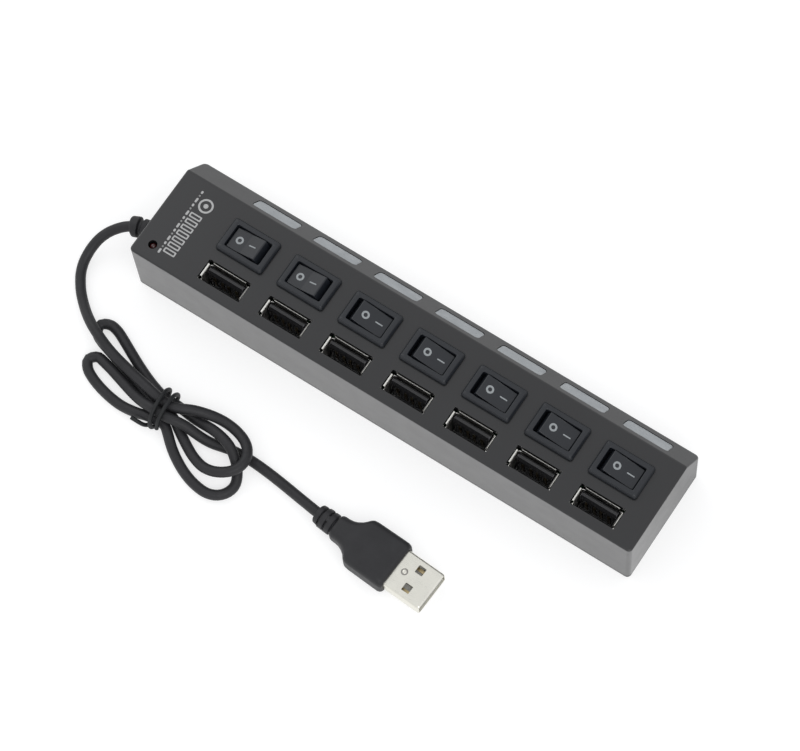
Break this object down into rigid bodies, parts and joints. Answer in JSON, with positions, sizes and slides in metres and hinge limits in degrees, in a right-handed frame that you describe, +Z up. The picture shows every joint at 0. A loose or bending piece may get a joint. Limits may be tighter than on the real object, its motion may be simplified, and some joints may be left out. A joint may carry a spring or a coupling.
{
  "type": "usb hub",
  "caption": "Long slim powered port hub with a rocker switch and a status window behind each port, and a captive cable tied in a bundle with its plug.",
  "frame": {"origin": "centre of the hub's flat underside, on the surface it rests on", "axes": "+X along the hub, away from the cable; +Y from the ports' side towards the side with the sloped status windows; +Z up"},
  "size_m": [0.1771, 0.0777, 0.0251],
  "materials": {
    "housing_plastic": "fine matt texture, near black",
    "switch_plastic": "satin, blue-black",
    "milky_plastic": "translucent milky grey",
    "insulator_plastic": "black moulded",
    "plug_plastic": "white moulded",
    "plated_steel": "bright nickel plate",
    "screw_steel": "zinc plated",
    "contact_gold": "gold plated",
    "cable_jacket": "satin flexible vinyl",
    "tie_wire": "vinyl covered wire",
    "cap_rubber": "matt",
    "board_laminate": "green solder mask",
    "chip_epoxy": "matt epoxy",
    "lamp_epoxy": "clear red, unlit",
    "surface_led": "pale, unlit"
  },
  "bodies": {
    "hub": {"top_housing": "housing_plastic", "bottom_cover": "housing_plastic", "main_board": "board_laminate", "hub_chip": "chip_epoxy", "light_bar": "milky_plastic", "power_led": "lamp_epoxy", "dc_jack": "insulator_plastic", "port_shell_1": "plated_steel", "port_insulator_1": "insulator_plastic", "switch_body_1": "switch_plastic", "port_led_1": "surface_led", "port_shell_2": "plated_steel", "port_insulator_2": "insulator_plastic", "switch_body_2": "switch_plastic", "port_led_2": "surface_led", "port_shell_3": "plated_steel", "port_insulator_3": "insulator_plastic", "switch_body_3": "switch_plastic", "port_led_3": "surface_led", "port_shell_4": "plated_steel", "port_insulator_4": "insulator_plastic", "switch_body_4": "switch_plastic", "port_led_4": "surface_led", "port_shell_5": "plated_steel", "port_insulator_5": "insulator_plastic", "switch_body_5": "switch_plastic", "port_led_5": "surface_led", "port_shell_6": "plated_steel", "port_insulator_6": "insulator_plastic", "switch_body_6": "switch_plastic", "port_led_6": "surface_led", "port_shell_7": "plated_steel", "port_insulator_7": "insulator_plastic", "switch_body_7": "switch_plastic", "port_led_7": "surface_led", "cover_screw_1": "screw_steel", "screw_cap_1": "cap_rubber", "cover_screw_2": "screw_steel", "screw_cap_2": "cap_rubber", "cover_screw_3": "screw_steel", "screw_cap_3": "cap_rubber", "cover_screw_4": "screw_steel", "screw_cap_4": "cap_rubber", "cable_strain_relief": "cable_jacket", "cable": "cable_jacket", "twist_tie": "tie_wire", "plug_overmold": "cable_jacket", "plug_shell": "plated_steel", "plug_insulator": "plug_plastic", "plug_contact_1": "contact_gold", "plug_contact_2": "contact_gold", "plug_contact_3": "contact_gold", "plug_contact_4": "contact_gold"},
    "rocker_1": {"switch_rocker_1": "switch_plastic"},
    "rocker_2": {"switch_rocker_2": "switch_plastic"},
    "rocker_3": {"switch_rocker_3": "switch_plastic"},
    "rocker_4": {"switch_rocker_4": "switch_plastic"},
    "rocker_5": {"switch_rocker_5": "switch_plastic"},
    "rocker_6": {"switch_rocker_6": "switch_plastic"},
    "rocker_7": {"switch_rocker_7": "switch_plastic"}
  },
  "joints": [
    {"name": "switch_1_tilt", "type": "hinge", "parent": "hub", "child": "rocker_1", "pos_m": [-0.0528, 0.0005, 0.0203], "axis": [0, 1, 0], "range_deg": [0, 24]},
    {"name": "switch_2_tilt", "type": "hinge", "parent": "hub", "child": "rocker_2", "pos_m": [-0.033, 0.0005, 0.0203], "axis": [0, 1, 0], "range_deg": [0, 24]},
    {"name": "switch_3_tilt", "type": "hinge", "parent": "hub", "child": "rocker_3", "pos_m": [-0.0132, 0.0005, 0.0203], "axis": [0, 1, 0], "range_deg": [-24, 0]},
    {"name": "switch_4_tilt", "type": "hinge", "parent": "hub", "child": "rocker_4", "pos_m": [0.0066, 0.0005, 0.0203], "axis": [0, 1, 0], "range_deg": [-24, 0]},
    {"name": "switch_5_tilt", "type": "hinge", "parent": "hub", "child": "rocker_5", "pos_m": [0.0264, 0.0005, 0.0203], "axis": [0, 1, 0], "range_deg": [-24, 0]},
    {"name": "switch_6_tilt", "type": "hinge", "parent": "hub", "child": "rocker_6", "pos_m": [0.0462, 0.0005, 0.0203], "axis": [0, 1, 0], "range_deg": [-24, 0]},
    {"name": "switch_7_tilt", "type": "hinge", "parent": "hub", "child": "rocker_7", "pos_m": [0.066, 0.0005, 0.0203], "axis": [0, 1, 0], "range_deg": [-24, 0]}
  ]
}
